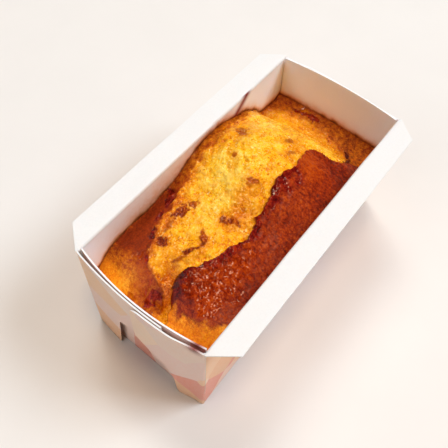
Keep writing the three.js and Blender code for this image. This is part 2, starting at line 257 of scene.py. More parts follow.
# Tones of the browned crumb, which also paint shade in the valley at the near end.
BROWNED_AND_SHADED_TONES = ((0.36, (172, 70, 4)), (0.52, (218, 116, 10)), (0.66, (240, 166, 50)))
CRUST_TONES = ((0.22, (91, 22, 2)), (0.5, (138, 44, 2)), (0.78, (185, 76, 5)))
SLAB_TONES = ((0.35, (96, 16, 2)), (0.5, (146, 41, 4)), (0.65, (181, 70, 9)))
GOLD_TONES = ((0.36, (226, 114, 4)), (0.52, (251, 156, 10)), (0.66, (255, 192, 48)))
MARK_TONES = ((0.36, (90, 20, 4)), (0.5, (142, 50, 6)), (0.64, (196, 96, 16)))
RIM_TONES = ((0.36, (66, 5, 8)), (0.5, (114, 14, 10)), (0.66, (164, 46, 16)))
# Mottlings of the cake, and how they add up.
MOTTLES = {"fine": (0.5, 1.0), "pebbles": (0.8, 0.5, 0.5), "middle": (2.0, 4.0), "broad": (9.0, 2.0)}
# The raised relief and the pebbles, which also give the bumps, paint light on bumps and shade in hollows.
CRUMB_SHARES = {
    "fine": 0.36, "pebbles": 0.26, "middle": 0.1, "broad": 0.04, "raised": 0.18, "pale": 0.14, "shade": 0.4,
}
CRUMB_LEVEL = 0.2  # taken off their sum
SKIN_SHARES = {"fine": 0.24, "pebbles": 0.3, "middle": 0.2, "broad": 0.15, "raised": 0.15, "shade": 1.0}
SKIN_LEVEL = 0.52
STREAK = (1.1, 2.0)  # of the slab's skin
STREAK_DRAW = (1.0, 0.35, 0.35)  # draws the streaks out across the loaf
STREAK_SHARE = 0.4
NOISE_MIDDLE = 0.5
NOISE_SPAN = (0.3, 0.7)  # most of a mottling lies between these values
# Small dark freckles of the crumb, and painted glints: pale specks that stand in for its wet highlights.
FRECKLES = (1.5, 1.0)
FRECKLE_EDGE = (0.66, 0.72)
FRECKLE_STRENGTH = 0.6
FRECKLE_TONE = (166, 84, 6)
PAINTED_GLINTS = (0.85, 0.0)
PAINTED_GLINT_EDGE = (0.62, 0.76)
PAINTED_GLINT_PATCH_SIZE = 5.0
PAINTED_GLINT_PATCH_EDGE = (0.42, 0.62)
PAINTED_GLINT_STRENGTH = (0.1, 0.6)  # between and in those patches
PAINTED_GLINT_TONES = {"crumb": (255, 234, 150), "browned": (255, 206, 120)}
BROKEN_UP = {"toast_and_shade": 10.0, "crust": 5.6, "gold": 8.0, "burnt": 8.0, "rim": 8.0}  # how ragged edges are

# The cake's surface.
CAKE_ROUGHNESS = (0.8, 0.16)  # dry and wet
ROUGH_PATCH_SIZE = 3.0
ROUGH_CHANGE = 0.03  # either way
GRIT = (0.35, 0.0)
BUMP_SHARES = {"pebbles": 1.0, "grit": 0.12}
BUMP_HEIGHT = 0.22
BUMP_STRENGTH = (1.0, 0.26)  # on the crumb and on the skin
CAKE_SPECULAR = 0.38
CAKE_GLOW = {"weight": 0.1, "radius": (2.0, 0.9, 0.3)}

# The card's surface.
BOARD_FIBRE = (0.8, 4.0)
# Painted light and shade on one white card: the walls are painted lighter than the rim, which faces the
# lamps.
WALL_PAINTED_LIGHT_TONES = ((246, 246, 246), (250, 250, 250))
FLANGE_PAINTED_SHADE_TONES = ((226, 225, 223), (230, 229, 227))
FLANGE_SHADE_BAND = (CASE_HEIGHT - 2, CASE_HEIGHT - CARD)  # heights between which the rim's painted shade begins
DRIP_TONES = ((110, 14, 10), (150, 34, 20))
GREASE_AND_SHADE_TONES = ((0.0, (255, 255, 255)), (0.3, (232, 186, 150)), (0.6, (176, 104, 50)), (1.0, (92, 40, 10)))
GREASE_PATCH_SIZE = 2.5
GREASE_CHANGE = (0.8, 1.2)
CARD_FIBRE = (0.5, 4.0)
CARD_BUMP = 0.1
CARD_BUMP_HEIGHT = 0.05
CARD_ROUGHNESS = (0.5, 0.65)
CARD_GLOW = {"weight": 0.4, "radius": (1.0, 0.8, 0.7)}
PRINT_TONES = (  # from the fields near the rim to those near the floor
    (0.0, (248, 212, 192)), (0.2, (255, 214, 184)), (0.34, (252, 200, 160)), (0.46, (248, 206, 190)),
    (0.58, (246, 186, 142)), (0.68, (255, 204, 182)), (0.8, (240, 152, 128)),
)
FIELD_SIZE = 21  # of the print's angular fields
FIELD_SHARES = {"low": 0.4, "chance": 0.6}  # how a field's tone follows its height and chance
WALL_PRINT = 0.15  # the end walls show the print's lower part, drawn out
PRINT_SHIFT = 220  # moves the fields round the case
WORN = (1.2, 4.0)
WORN_EDGE = (0.35, 0.65)
WORN_STRENGTH = 0.12
WORN_TONE = (250, 247, 243)
PRINT_STAIN = (120, 28, 20)

# The camera of the photograph.
CAMERA_PLACE = (-115.58, -68.133, 254.76)
CAMERA_ANGLES = (-54.565, 55.658, 3.641)  # azimuth, elevation, roll
CAMERA_LENS = 46.23
CAMERA_SENSOR = 36
CAMERA_SHIFT = -0.087
CAMERA_CLIP = 10  # nothing nearer is seen

# The studio.
LIGHT_DISTANCE = 3000
DAYLIGHT = (0.95, 1.0, 1.05)
# Name, direction from the object, width, power, colour, and whether matt and glossy surfaces show it.
SOFT_BOXES = (
    ("overhead", (0.3, 0.28, 1.0), 800, 25, DAYLIGHT, True, False),
    ("left", (0.25, 0.45, 1.0), 700, 14, (1.0, 0.93, 0.82), True, True),
    ("glints", (0.02, -0.06, 1.0), 520, 23, (1.0, 0.71, 0.47), True, True),
    ("near_glints", (-0.6, -0.34, 0.9), 520, 14, (1.0, 0.6, 0.36), False, True),
    ("right", (0.6, -0.6, 1.0), 1300, 58, (0.88, 1.02, 1.16), True, False),
    ("near", (-1.1, 0.3, 1.0), 1600, 20, DAYLIGHT, True, False),
    ("low", (0.1, -1.6, 1.0), 2400, 12, (1.0, 0.68, 0.44), True, False),
)
FILL_COLOR = (0.02, 0.016, 0.013)
SHEEN_COLOR = (0.04, 0.035, 0.03)  # what glossy surfaces see of the room
FLOOR_SIZE = 3000
FLOOR_TONES = ((226, 222, 217), (228, 224, 219))
FLOOR_MOTTLE_SIZE = 40.0
FLOOR_ROUGHNESS = 0.8

BRIGHTEST = 255  # level of a screen
# Sockets of a mix node that blends colours: its factor and two colours, and its result.
MIX_COLORS = (0, 6, 7)
MIXED_COLOR = 2


def smooth(x, low, high):
    """0 below low, 1 above high, and an even ramp between them."""
    t = np.clip((x - low) / (high - low), 0, 1)
    return t * t * (3 - 2 * t)


def mix(a, b, t):
    return a + (b - a) * t


def bell(distance, spread):
    return np.exp(-((distance / spread) ** 2))


def between(x, rise, fall):
    return smooth(x, *rise) * (1 - smooth(x, *fall))


def bowed(y):
    """1 in the middle of the width, 0 at the long walls."""
    return np.maximum(0, 1 - (y / HALF_WIDTH) ** 2)


def through(points, at):
    """The value at a place on the line that runs straight between a few points."""
    places, values = np.transpose(points)
    return np.interp(at, places, values)


def lattice(i, j, seed):
    """A repeatable random number from -1 to 1 for each point of a grid."""
    value = SCATTER["all"] * np.sin(i * SCATTER["x"] + j * SCATTER["y"] + seed * SCATTER["seed"])
    return 2 * (value - np.floor(value)) - 1


def lumps(x, y, height, size, seed):
    """Smooth lumps of about the given size, up to the given height either way."""
    i = np.floor(x / size)
    j = np.floor(y / size)
    u = smooth(x / size - i, 0, 1)
    v = smooth(y / size - j, 0, 1)
    low = mix(lattice(i, j, seed), lattice(i + 1, j, seed), u)
    high = mix(lattice(i, j + 1, seed), lattice(i + 1, j + 1, seed), u)
    return height * mix(low, high, v)


def swirls(x, y, height, size, seed):
    """Uneven swellings with scattered slopes, on a grid turned by the seed."""
    c, s = math.cos(seed), math.sin(seed)
    u = (c * x + s * y) / size
    v = (c * y - s * x) / size
    i = np.floor(u)
    j = np.floor(v)

    def slope(step_i, step_j):
        angle = math.pi * lattice(i + step_i, j + step_j, seed)
        return np.cos(angle) * (u - i - step_i) + np.sin(angle) * (v - j - step_j)

    across = smooth(u - i, 0, 1)
    low = mix(slope(0, 0), slope(1, 0), across)
    high = mix(slope(0, 1), slope(1, 1), across)
    return SWIRL_GAIN * height * mix(low, high, smooth(v - j, 0, 1))


def grains(x, y, layers):
    return sum(swirls(x, y, *layer) for layer in layers)


def crags(x, y, layers):
    """Sharp ridges where swirls change sign."""
    return sum(CRAG_LEVEL * high - np.abs(swirls(x, y, high, size, seed)) for high, size, seed in layers)


def pits(x, y, depth, size, radius, seed):
    """Round pores scattered one to a cell, some of them too shallow to see."""
    hollow = np.zeros_like(x)
    for step_x in (-1, 0, 1):
        for step_y in (-1, 0, 1):
            i = np.floor(x / size) + step_x
            j = np.floor(y / size) + step_y
            middle_x = (i + 1 / 2 + PIT_SCATTER * lattice(i, j, seed)) * size
            middle_y = (j + 1 / 2 + PIT_SCATTER * lattice(i, j, seed + 1)) * size
            share = smooth(lattice(i, j, seed + 2), *PIT_CHANCE)
            reach = radius * (PIT_LEAST + share)
            hollow = np.maximum(hollow, share * bell(np.hypot(x - middle_x, y - middle_y), reach))
    return depth * hollow


def dome_height(x, y):
    """The risen loaf without its tear."""
    across = (y + HALF_WIDTH) / (2 * HALF_WIDTH)
    shoulder = SHOULDER * between(x, SHOULDER_NEAR, SHOULDER_FAR)
    bulge = mix(BULGE_RIGHT, BULGE_LEFT, across) * bell(x - BULGE_CENTRE, BULGE_SPREAD)
    crown = CROWN + CROWN_PEAK * bell(x - CROWN_CENTRE, CROWN_SPREAD)
    return END_HEIGHT + shoulder + bulge + crown * between(x, CROWN_NEAR, CROWN_FAR) * bowed(y)


def slab_depth(x, y):
    """Distance from the torn edge into the slab of browned skin."""
    return through(TORN_EDGE, x) + grains(x, y, FINE_TEETH) - y


def crust_depth(x, y):
    """Distance from the crumb into the old skin on the +Y side."""
    return y - through(CRUST_EDGE, x) + CRUST_TEETH * grains(x, y, FINE_TEETH)


def far_depth(x, y):
    """Distance from the crumb into the crust of the far end."""
    return x - through(FAR_EDGE, y) + CRUST_TEETH * grains(x, y, FINE_TEETH)


def tear_relief(x, y):
    depth = slab_depth(x, y)
    lip = LIP_HEIGHT * np.exp(-np.maximum(depth, 0) / LIP_REACH)
    furrow = -FURROW_DEPTH * np.exp(np.minimum(depth, 0) / FURROW_REACH)
    return smooth(x, *TEAR_FADE) * mix(furrow, lip, smooth(depth, -TEAR_WIDTH / 2, TEAR_WIDTH / 2))


def crust_relief(x, y):
    return -CRUST_DROP * smooth(crust_depth(x, y), -CRUST_WIDTH / 2, CRUST_WIDTH / 2)


def valley_relief(x, y):
    along = between(x, VALLEY_MOUTH, VALLEY_FADE)
    return -VALLEY_DEPTH * along * bell(y - through(VALLEY, x), VALLEY_WIDTH)


def dip_relief(x, y):
    return -DIP["depth"] * bell(np.hypot(x - DIP["x"], y - DIP["y"]), DIP["spread"])


def ledge_relief(x, y):
    beyond = x - through(LEDGE, y)
    rise = smooth(beyond, -LEDGE_WIDTH / 2, LEDGE_WIDTH / 2)
    step = rise * np.exp(-np.maximum(beyond, 0) / LEDGE_REACH)
    return LEDGE_HEIGHT * step * between(y, *LEDGE_SIDES)


def main_height(x, y):
    """Height of the top with its larger relief, which fades out at the end walls."""
    reliefs = (tear_relief, crust_relief, valley_relief, dip_relief, ledge_relief)
    relief = sum(part(x, y) for part in reliefs) + sum(lumps(x, y, *swell) for swell in SWELLS)
    return dome_height(x, y) + relief * smooth(END_FOOT - np.abs(x), 0, RELIEF_MARGIN)


def end_face(y, z, end):
    """Distance from the middle of the loaf to an end wall's inner face."""
    return mix(END_FOOT, END_RIM + END_BOW[end] * bowed(y), z / CASE_HEIGHT)


def mark_distances(x, y, table):
    """For each mark of a table, 0 in its middle and 1 at its wandering outline, and its strength."""
    warp_x, warp_y = (swirls(x, y, *layer) for layer in MARK_WARP)
    for mark_x, mark_y, long, wide, turn, strength in table:
        c = math.cos(math.radians(turn))
        s = math.sin(math.radians(turn))
        off_x = x + warp_x - mark_x
        off_y = y + warp_y - mark_y
        yield np.hypot((off_x * c + off_y * s) / long, (off_y * c - off_x * s) / wide), strength


def mark_strength(x, y, table):
    fray = grains(x, y, MARK_FRAY)
    distances = mark_distances(x, y, table)
    marks = [strength * (1 - smooth(far + fray, *MARK_EDGE)) for far, strength in distances]
    return np.minimum(1, MARK_GAIN * np.maximum.reduce(marks))


def mark_halo(x, y):
    halos = [strength * bell(far, MARK_HALO["spread"]) for far, strength in mark_distances(x, y, MARKS)]
    return MARK_HALO["strength"] * np.maximum.reduce(halos)


def patches(table, x, y):
    """The sum of some soft round patches."""
    return sum(strength * bell(np.hypot(x - px, y - py), reach) for px, py, reach, strength in table)


def wall_distance(x, y):
    """Distance to the nearest wall of the case."""
    near = x + end_face(y, END_HEIGHT, NEAR)
    far = end_face(y, END_HEIGHT, FAR) - x
    return np.minimum.reduce([HALF_WIDTH - np.abs(y), near, far])


def rim_zone(x, y, slab, slab_in):
    """The burnt band behind the torn edge, and the charred spots."""
    width = through(RIM_WIDTHS, x) * (1 + swirls(x, y, *RIM_WAVER)) + RIM_LEAST
    fade_from, fade_to = RIM_FADE
    band = slab * (1 - smooth(slab_in, fade_from * width, fade_to * width))
    return np.maximum(band, mark_strength(x, y, CHARRED))


def gold_zone(x, y, slab, crust, far_in):
    """The golden stretches of the slab and of the old skin."""
    past_edge = x - through(GOLD_EDGE, y) + swirls(x, y, *GOLD_WAVER)
    on_slab = slab * (1 - smooth(past_edge, *GOLD_FADE))
    near = 1 - smooth(x + swirls(x, y, *NEAR_WAVER), *NEAR_GOLD["x"])
    near = near * mix(NEAR_GOLD["least"], 1, smooth(y, *NEAR_GOLD["y"]))
    left = LEFT_GOLD["strength"] * smooth(x + swirls(x, y, *LEFT_WAVER), *LEFT_GOLD["x"])
    far = FAR_GOLD["strength"] * smooth(far_in, *FAR_GOLD["edge"])
    return np.maximum(on_slab, crust * np.maximum.reduce([near, left, far]))


def toast_and_shade_zone(x, y, slab, crust_in, far_in):
    """Where the crumb is browned: in patches, round the marks and beside the crust. The patches in the
    valley at the near end are painted shade.
    """
    spots = patches(TOASTED_AND_SHADED, x, y) + mark_halo(x, y) + grains(x, y, TOAST_SPOTS)
    by_crust = np.exp(np.minimum(crust_in, 0) / CRUST_TOAST)
    by_far_end = FAR_TOAST["strength"] * np.exp(np.minimum(far_in, 0) / FAR_TOAST["reach"])
    return np.clip(spots + by_crust + by_far_end, 0, 1) * (1 - slab)


def wet_zone(x, y, slab, crust, rim):
    spots = smooth(patches(WET, x, y) + swirls(x, y, *WET_SPOTS), *WET_EDGE)
    crumb = CRUMB_GLOSS * (1 - slab) * (1 - crust)
    return np.maximum.reduce([spots, rim, crumb, SKIN_GLOSS * slab])


def cake_zones(x, y):
    """Where the cake's different surfaces are, from 0 to 1 each."""
    slab_in = slab_depth(x, y)
    crust_in = crust_depth(x, y)
    far_in = far_depth(x, y)
    slab = smooth(slab_in, *SLAB_EDGE)
    crust = np.maximum(smooth(crust_in, *OLD_SKIN_EDGE), smooth(far_in, *FAR_SKIN_EDGE)) * (1 - slab)
    rim = rim_zone(x, y, slab, slab_in)
    clinging = CLINGING["strength"] * np.exp(-wall_distance(x, y) / CLINGING["reach"])
    return {
        "slab": slab,
        "rim": rim,
        "gold": gold_zone(x, y, slab, crust, far_in),
        "crust": crust,
        "burnt": np.maximum(mark_strength(x, y, MARKS), clinging),
        "toast_and_shade": toast_and_shade_zone(x, y, slab, crust_in, far_in),
        "pale": np.clip(patches(PALE, x, y) + swirls(x, y, *PALE_SPOTS), 0, 1),
        "wet": wet_zone(x, y, slab, crust, rim),
        "shade": np.clip(EVEN_SHADE + patches(TONES_AND_PAINTED_SHADE, x, y), 0, 1),
    }


def fine_relief(x, y, zones):
    crumb = (1 - zones["slab"]) * (1 - SMOOTH_CRUST * zones["crust"])
    skin = (1 - crumb) * (1 - zones["rim"])
    puckered = skin * smooth(zones["wet"], *PUCKERED)
    relief = crumb * (grains(x, y, CRUMB_GRAIN) - pits(x, y, **PITS))
    relief += (skin - puckered) * mix(SMOOTH_SKIN, 1, zones["wet"]) * grains(x, y, SKIN_GRAIN)
    relief += puckered * grains(x, y, PUCKERS)
    relief += zones["rim"] * grains(x, y, RIM_GRAIN)
    relief += zones["burnt"] * crags(x, y, CRAGS)
    return relief


def climb(x, y):
    """The thin edge of the cake that clings to the card."""
    return CLIMB["height"] * np.exp(-wall_distance(x, y) / CLIMB["reach"])


def grid_quads(columns, rows, first=0):
    """Corner numbers of the faces of a grid of points, seen from above."""
    numbers = first + np.arange(columns * rows).reshape(columns, rows)
    corners = (numbers[:-1, :-1], numbers[1:, :-1], numbers[1:, 1:], numbers[:-1, 1:])
    return np.stack([corner.ravel() for corner in corners], axis=1)


def grid_outline(columns, rows):
    """Numbers of the points round a grid, anticlockwise seen from above."""
    numbers = np.arange(columns * rows).reshape(columns, rows)
    sides = (numbers[:-1, 0], numbers[-1, :-1], numbers[:0:-1, -1], numbers[0, :0:-1])
    return np.concatenate(sides)


def add_attribute(mesh, name, values):
    layer = mesh.attributes.new(name, "FLOAT", "POINT")
    layer.data.foreach_set("value", np.asarray(values, dtype=np.float32))


def new_object(name, data):
    thing = bpy.data.objects.new(name, data)
    bpy.context.scene.collection.objects.link(thing)
    return thing


def column_shares():
    """Where the columns of the top stand, from 0 to 1, closer together on steep stretches."""
    share = np.linspace(0, 1, LENGTH_STEPS)
    x = mix(-END_FOOT, END_FOOT, share)
    steps = np.hypot(np.diff(x), np.diff(dome_height(x, np.zeros_like(x))))
    length = np.concatenate([[0], np.cumsum(steps)])
    return np.interp(np.linspace(0, length[-1], CAKE_COLUMNS), length, share)


def cake_mesh(top):
    """A closed mesh from the points of the top, with straight sides and a flat underside."""
    ring = grid_outline(CAKE_COLUMNS, CAKE_ROWS)
    below = top[ring]
    below[:, 0] = np.clip(below[:, 0], -FOOT_LENGTH, FOOT_LENGTH)
    below[:, 2] = UNDERSIDE
    under = len(top) + np.arange(len(ring))
    sides = np.stack([ring, under, np.roll(under, -1), np.roll(ring, -1)], axis=1)
    faces = [*grid_quads(CAKE_COLUMNS, CAKE_ROWS).tolist(), *sides.tolist(), under[::-1].tolist()]
    mesh = bpy.data.meshes.new("loaf")
    mesh.from_pydata((np.concatenate([top, below]) * MM).tolist(), [], faces)
    mesh.shade_smooth()
    mesh.set_sharp_from_angle(angle=math.radians(CAKE_SHARP))
    return mesh


def build_cake():
    across = np.linspace(TOUCH - HALF_WIDTH, HALF_WIDTH - TOUCH, CAKE_ROWS)
    y = np.tile(across, (CAKE_COLUMNS, 1))
    near = TOUCH - end_face(y, END_HEIGHT, NEAR)
    far = end_face(y, END_HEIGHT, FAR) - TOUCH
    x = mix(near, far, column_shares()[:, None])
    zones = cake_zones(x, y)
    fine = fine_relief(x, y, zones)
    z = main_height(x, y) + fine + climb(x, y)
    # The relief goes to the colours, which paint light on its raised bits and shade in its hollows.
    zones["raised"] = smooth(fine, -RAISED, RAISED)
    mesh = cake_mesh(np.stack([x.ravel(), y.ravel(), z.ravel()], axis=1))
    hidden = np.ones(len(mesh.vertices) - x.size)  # the points of the underside, which are all crust
    for name, values in zones.items():
        add_attribute(mesh, name, np.concatenate([values.ravel(), hidden * (name == "crust")]))
    return new_object("loaf", mesh)


def to_linear(tone):
    """A colour of the screen, 0 to 255, as the light it stands for."""
    light = Color([level / BRIGHTEST for level in tone]).from_srgb_to_scene_linear()
    return (*light, 1.0)


def new_material(name):
    material = bpy.data.materials.new(name)
    material.use_nodes = True
    return material, material.node_tree, material.node_tree.nodes["Principled BSDF"]


def set_inputs(tree, node, inputs):
    """Links another node's output to each named socket, or sets the socket's own value."""
    for name, value in inputs.items():
        if isinstance(value, bpy.types.NodeSocket):
            tree.links.new(value, node.inputs[name])
        else:
            node.inputs[name].default_value = value


def add_node(tree, kind, inputs, **settings):
    node = tree.nodes.new("ShaderNode" + kind)
    for name, value in settings.items():
        setattr(node, name, value)
    set_inputs(tree, node, inputs)
    return node


def attribute(tree, name):
    return add_node(tree, "Attribute", {}, attribute_name=name).outputs["Fac"]


def millimetres(tree):
    """Places on the object, in millimetres."""
    place = add_node(tree, "TexCoord", {}).outputs["Object"]
    scaled = add_node(tree, "VectorMath", {0: place, "Scale": 1 / MM}, operation="SCALE")
    return scaled.outputs["Vector"]


def noise(tree, place, size, detail=3.0, roughness=0.6):
    """Mottling whose spots are about the given size."""
    inputs = {"Vector": place, "Scale": 1 / size, "Detail": detail, "Roughness": roughness}
    return add_node(tree, "TexNoise", inputs).outputs["Fac"]


def ramp(tree, factor, stops):
    node = add_node(tree, "ValToRGB", {"Fac": factor})
    elements = node.color_ramp.elements
    while len(elements) < len(stops):
        elements.new(1.0)
    for element, (place, tone) in zip(elements, stops):
        element.position = place
        element.color = to_linear(tone)
    return node.outputs["Color"]


def two_tone(tree, mottling, tones):
    """Goes from one tone to another with a mottling."""
    return ramp(tree, mottling, tuple(zip(NOISE_SPAN, tones)))


def calc(tree, operation, a, b=0.0, clamp=False):
    inputs = {0: a, 1: b}
    return add_node(tree, "Math", inputs, operation=operation, use_clamp=clamp).outputs[0]


def spread(tree, value, low, high, to_low=0.0, to_high=1.0):
    inputs = {"Value": value, "From Min": low, "From Max": high, "To Min": to_low, "To Max": to_high}
    return add_node(tree, "MapRange", inputs).outputs["Result"]


def blend(tree, factor, a, b, mode="MIX"):
    inputs = dict(zip(MIX_COLORS, (factor, a, b)))
    return add_node(tree, "Mix", inputs, data_type="RGBA", blend_type=mode).outputs[MIXED_COLOR]


def broken(tree, name, mottling):
    """A zone of the cake whose soft edges are broken up by a mottling."""
    mask = attribute(tree, name)
    edge = calc(tree, "MULTIPLY", mask, calc(tree, "SUBTRACT", 1.0, mask))
    change = calc(tree, "SUBTRACT", mottling, NOISE_MIDDLE)
    shift = calc(tree, "MULTIPLY", change, BROKEN_UP[name])
    return calc(tree, "ADD", mask, calc(tree, "MULTIPLY", shift, edge), clamp=True)


def weigh(tree, values, shares):
    """The sum of some named values, each times its share."""
    total = 0.0
    for name, share in shares.items():
        total = calc(tree, "ADD", calc(tree, "MULTIPLY", values[name], share), total)
    return total


def glow(weight, radius):
    """Inputs that let light spread below the surface, by a distance for each colour."""
    distances = [distance * MM for distance in radius]
    return {"Subsurface Weight": weight, "Subsurface Radius": distances, "Subsurface Scale": 1.0}


def streaky(tree, place):
    """Streaks across the loaf, either way from 0."""
    drawn = add_node(tree, "VectorMath", {0: place, 1: STREAK_DRAW}, operation="MULTIPLY")
    change = calc(tree, "SUBTRACT", noise(tree, drawn.outputs["Vector"], *STREAK), NOISE_MIDDLE)
    return calc(tree, "MULTIPLY", change, STREAK_SHARE)


def crumb_colours(tree, place, grain):
    """Colours of the pale and of the browned crumb, with freckles and painted glints: pale specks for wet
    highlights.
    """
    freckles = spread(tree, noise(tree, place, *FRECKLES), *FRECKLE_EDGE, 0.0, FRECKLE_STRENGTH)
    painted_glints = spread(tree, noise(tree, place, *PAINTED_GLINTS), *PAINTED_GLINT_EDGE)
    glint_patches = spread(tree, noise(tree, place, PAINTED_GLINT_PATCH_SIZE), *PAINTED_GLINT_PATCH_EDGE, *PAINTED_GLINT_STRENGTH)
    painted_glints = calc(tree, "MULTIPLY", painted_glints, glint_patches)
    crumb = blend(tree, freckles, ramp(tree, grain, CRUMB_TONES), to_linear(FRECKLE_TONE))
    crumb = blend(tree, painted_glints, crumb, to_linear(PAINTED_GLINT_TONES["crumb"]))
    browned = blend(tree, painted_glints, ramp(tree, grain, BROWNED_AND_SHADED_TONES), to_linear(PAINTED_GLINT_TONES["browned"]))
    return crumb, browned


def cake_colour(tree, place, mottles):
    values = {name: attribute(tree, name) for name in ("raised", "pale", "shade")} | mottles
    grain = calc(tree, "SUBTRACT", weigh(tree, values, CRUMB_SHARES), CRUMB_LEVEL)
    skin = calc(tree, "SUBTRACT", weigh(tree, values, SKIN_SHARES), SKIN_LEVEL)
    streaked = calc(tree, "ADD", skin, streaky(tree, place))
    middle = mottles["middle"]
    crumb, browned = crumb_colours(tree, place, grain)
    # The browned crumb, which also paints shade in the valley at the near end.
    color = blend(tree, broken(tree, "toast_and_shade", grain), crumb, browned)
    color = blend(tree, broken(tree, "crust", middle), color, ramp(tree, skin, CRUST_TONES))
    color = blend(tree, attribute(tree, "slab"), color, ramp(tree, streaked, SLAB_TONES))
    color = blend(tree, broken(tree, "gold", middle), color, ramp(tree, grain, GOLD_TONES))
    color = blend(tree, broken(tree, "burnt", grain), color, ramp(tree, grain, MARK_TONES))
    return blend(tree, broken(tree, "rim", middle), color, ramp(tree, skin, RIM_TONES))


def cake_bumps(tree, place, mottles):
    """Small bumps, weaker on the skin than on the crumb."""
    heights = weigh(tree, mottles | {"grit": noise(tree, place, *GRIT)}, BUMP_SHARES)
    skin = calc(tree, "MAXIMUM", attribute(tree, "slab"), attribute(tree, "crust"))
    strength = spread(tree, skin, 0.0, 1.0, *BUMP_STRENGTH)
    inputs = {"Height": heights, "Strength": strength, "Distance": BUMP_HEIGHT * MM}
    return add_node(tree, "Bump", inputs).outputs["Normal"]


def cake_material():
    material, tree, shader = new_material("baked_cake")
    place = millimetres(tree)
    mottles = {name: noise(tree, place, *layer) for name, layer in MOTTLES.items()}
    gloss = spread(tree, attribute(tree, "wet"), 0.0, 1.0, *CAKE_ROUGHNESS)
    uneven = spread(tree, noise(tree, place, ROUGH_PATCH_SIZE), *NOISE_SPAN, -ROUGH_CHANGE, ROUGH_CHANGE)
    set_inputs(tree, shader, glow(**CAKE_GLOW))
    set_inputs(tree, shader, {
        "Base Color": cake_colour(tree, place, mottles),
        "Roughness": calc(tree, "ADD", gloss, uneven),
        "Normal": cake_bumps(tree, place, mottles),
        "Specular IOR Level": CAKE_SPECULAR,
    })
    return material


def channel_profile():
    """Half of the case's cross-section, from the flange's edge to the middle of the base.

    Gives points (Y, Z) on the middle of the card, and the direction to its inner side at each."""
    wall = HALF_WIDTH + CARD / 2
    rim = CASE_HEIGHT - CARD / 2
    base = CARD / 2
    turn = np.linspace(0, math.pi / 2, FOLD_STEPS)
    flange_y = np.linspace(HALF_WIDTH + FLANGE_WIDTH, wall + RIM_FOLD, round(FLANGE_WIDTH / CARD_STEP))[:-1]
    wall_z = np.linspace(rim - RIM_FOLD, base + BASE_FOLD, round(CASE_HEIGHT / CARD_STEP))[1:-1]
    base_y = np.linspace(wall - BASE_FOLD, 0, round(HALF_WIDTH / CARD_STEP))[1:]
    rim_out = np.stack([-np.sin(turn), np.cos(turn)], axis=1)
    base_in = np.stack([-np.cos(turn), np.sin(turn)], axis=1)
    points = [
        np.stack([flange_y, np.full_like(flange_y, rim)], axis=1),
        np.array([wall + RIM_FOLD, rim - RIM_FOLD]) + RIM_FOLD * rim_out,
        np.stack([np.full_like(wall_z, wall), wall_z], axis=1),
        np.array([wall - BASE_FOLD, base + BASE_FOLD]) - BASE_FOLD * base_in,
        np.stack([base_y, np.full_like(base_y, base)], axis=1),
    ]
    inward = [
        np.tile((0.0, 1.0), (len(flange_y), 1)),
        rim_out,
        np.tile((-1.0, 0.0), (len(wall_z), 1)),
        base_in,
        np.tile((0.0, 1.0), (len(base_y), 1)),
    ]
    return np.concatenate(points), np.concatenate(inward)


def half_length(y, z):
    """Half the length of the sheet that makes the base, long walls and flanges."""
    outside = np.abs(y) - HALF_WIDTH - CARD
    flange = CASE_LENGTH / 2 - FLANGE_CHAMFER * np.clip(outside / (FLANGE_WIDTH - CARD), 0, 1)
    wall = CASE_LENGTH / 2 - CARD / 2 - CORNER_FOLD
    return np.where(outside > 0, flange, np.where(z > BASE_FOLD + CARD, wall, END_FOOT + CARD))


class CardSheets:
    """Closed sheets of card gathered in one mesh, with what the materials need at each point."""

    def __init__(self):
        self.points = []
        self.unfolded = []
        self.faces = []
        self.printed = []
        self.count = 0

    def add(self, inside, outside, unfolded):
        """A sheet between two grids of points; unfolded gives places on the flat sheet."""
        columns, rows = inside.shape[:2]
        size = columns * rows
        front = grid_quads(columns, rows, self.count)
        back = grid_quads(columns, rows, self.count + size)[:, ::-1]
        ring = grid_outline(columns, rows) + self.count
        ahead = np.roll(ring, -1)
        edge = np.stack([ring, ring + size, ahead + size, ahead], axis=1)
        self.points += [inside.reshape(size, 3), outside.reshape(size, 3)]
        self.unfolded += [unfolded.reshape(size, 2)] * 2
        self.faces += [front, back, edge]
        self.printed += [np.zeros(len(front)), np.ones(len(back)), np.zeros(len(edge))]
        self.count += 2 * size

    def mesh(self, name):
        points = np.concatenate(self.points)
        made = bpy.data.meshes.new(name)
        made.from_pydata((points * MM).tolist(), [], np.concatenate(self.faces).tolist())
        made.polygons.foreach_set("material_index", np.concatenate(self.printed).astype(np.int32))
        flat = np.concatenate(self.unfolded)
        layers = {"round": flat[:, 0], "up": flat[:, 1], "grease_and_shade": grease_and_shade(points), "streak": drips(points)}
        for layer, values in layers.items():
            add_attribute(made, layer, values)
        turn_outwards(made)
        made.shade_smooth()
        made.set_sharp_from_angle(angle=math.radians(CARD_SHARP))
        return made


def turn_outwards(mesh):
    work = bmesh.new()
    work.from_mesh(mesh)
    bmesh.ops.recalc_face_normals(work, faces=work.faces)
    work.to_mesh(mesh)
    work.free()


